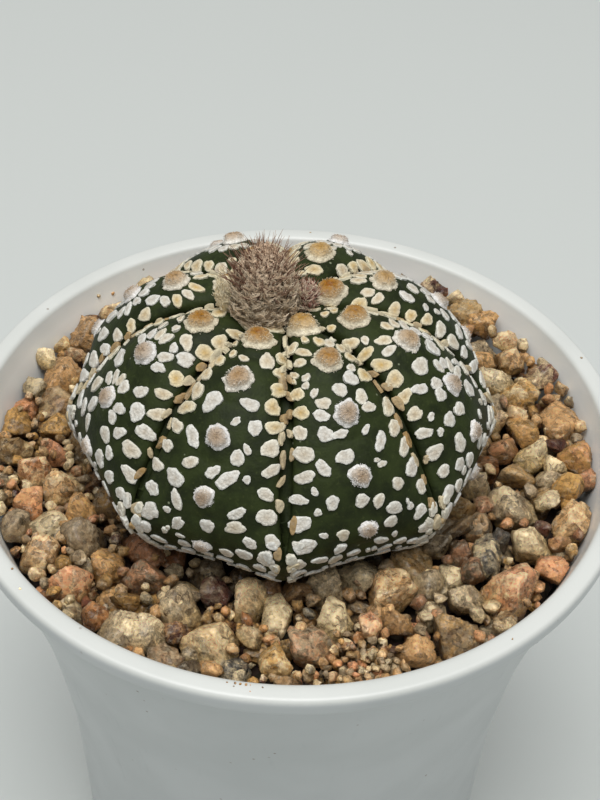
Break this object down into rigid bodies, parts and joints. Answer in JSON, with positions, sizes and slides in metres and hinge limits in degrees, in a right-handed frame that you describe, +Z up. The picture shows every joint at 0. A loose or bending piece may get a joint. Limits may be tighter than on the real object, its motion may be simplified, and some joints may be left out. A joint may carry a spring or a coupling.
{
  "type": "potted star cactus",
  "caption": "Low ribbed star cactus with raised white flecks, woolly areoles and woolly buds, in a bed of crushed stone in a white plastic pot.",
  "frame": {"origin": "centre of the pot's foot, on the surface that it stands on", "axes": "+Z up along the pot's axis; -Y towards the side that is usually looked at; +X to that viewer's right"},
  "size_m": [0.085, 0.085, 0.11],
  "materials": {
    "pot_plastic": "satin white, slightly translucent",
    "stone": "rough crushed granite and quartz in tan, ochre, grey and pink",
    "plant": "dark matte green skin with chalky white flecks and woolly cream and grey areoles",
    "bud_wool": "grey-mauve wool with dark red-brown bristles",
    "young_wool": "purple-red hairs over cream wool"
  },
  "bodies": {
    "root": {"pot": "pot_plastic", "stone_bed": "stone", "cactus_body": "plant", "bud_large": "bud_wool", "bud_small": "young_wool"}
  },
  "joints": []
}
